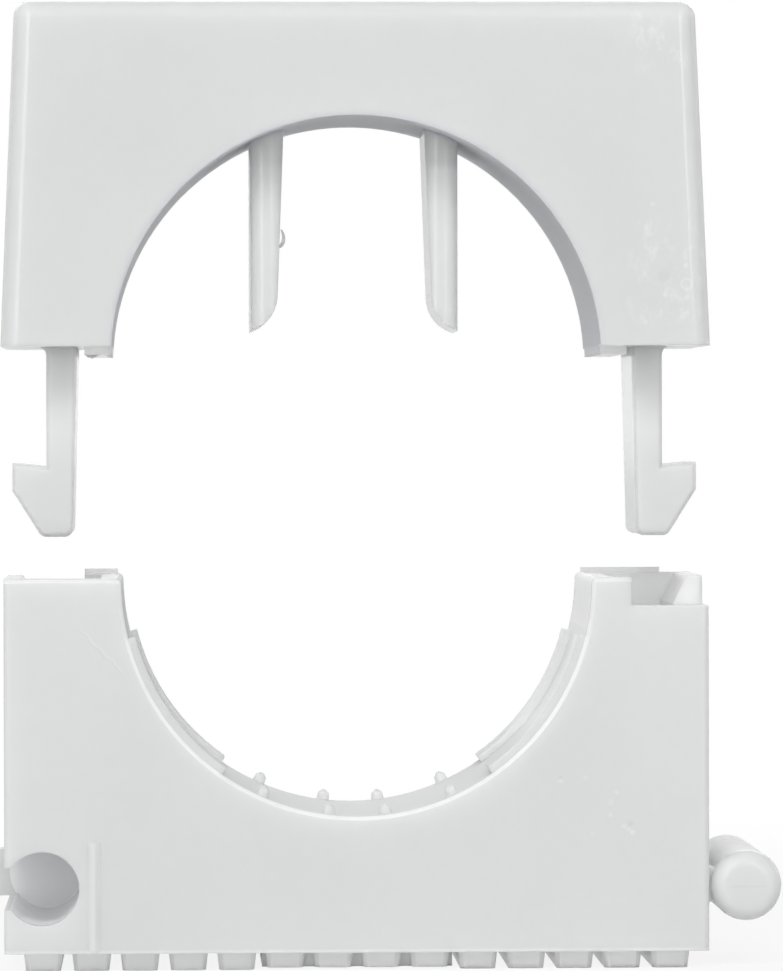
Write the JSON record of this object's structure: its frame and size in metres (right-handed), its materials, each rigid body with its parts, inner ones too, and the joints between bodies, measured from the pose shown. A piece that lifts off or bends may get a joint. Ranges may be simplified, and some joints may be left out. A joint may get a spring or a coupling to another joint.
{
  "type": "pipe clip",
  "caption": "Grey plastic pipe clip: ribbed wall base with a toothed pipe saddle, link peg and socket, and an arched snap cover with hooks and spring fingers, lifted off.",
  "frame": {"origin": "on the stud hole's axis, at the wall that the base is fixed to", "axes": "+X across the pipe towards the link peg, +Y along the pipe away from the front, +Z out of the wall through the pipe to the cover"},
  "size_m": [0.0557, 0.0182, 0.0681],
  "materials": {
    "base_plastic": "satin light grey moulding",
    "cover_plastic": "satin light grey moulding"
  },
  "bodies": {
    "base": {"clip_base": "base_plastic"},
    "cover": {"snap_cover": "cover_plastic"}
  },
  "joints": [
    {"name": "cover_lift", "type": "slide", "parent": "base", "child": "cover", "axis": [0, 0, 1], "range_m": [-0.0157, 0], "deforming": ["snap_cover"]}
  ]
}
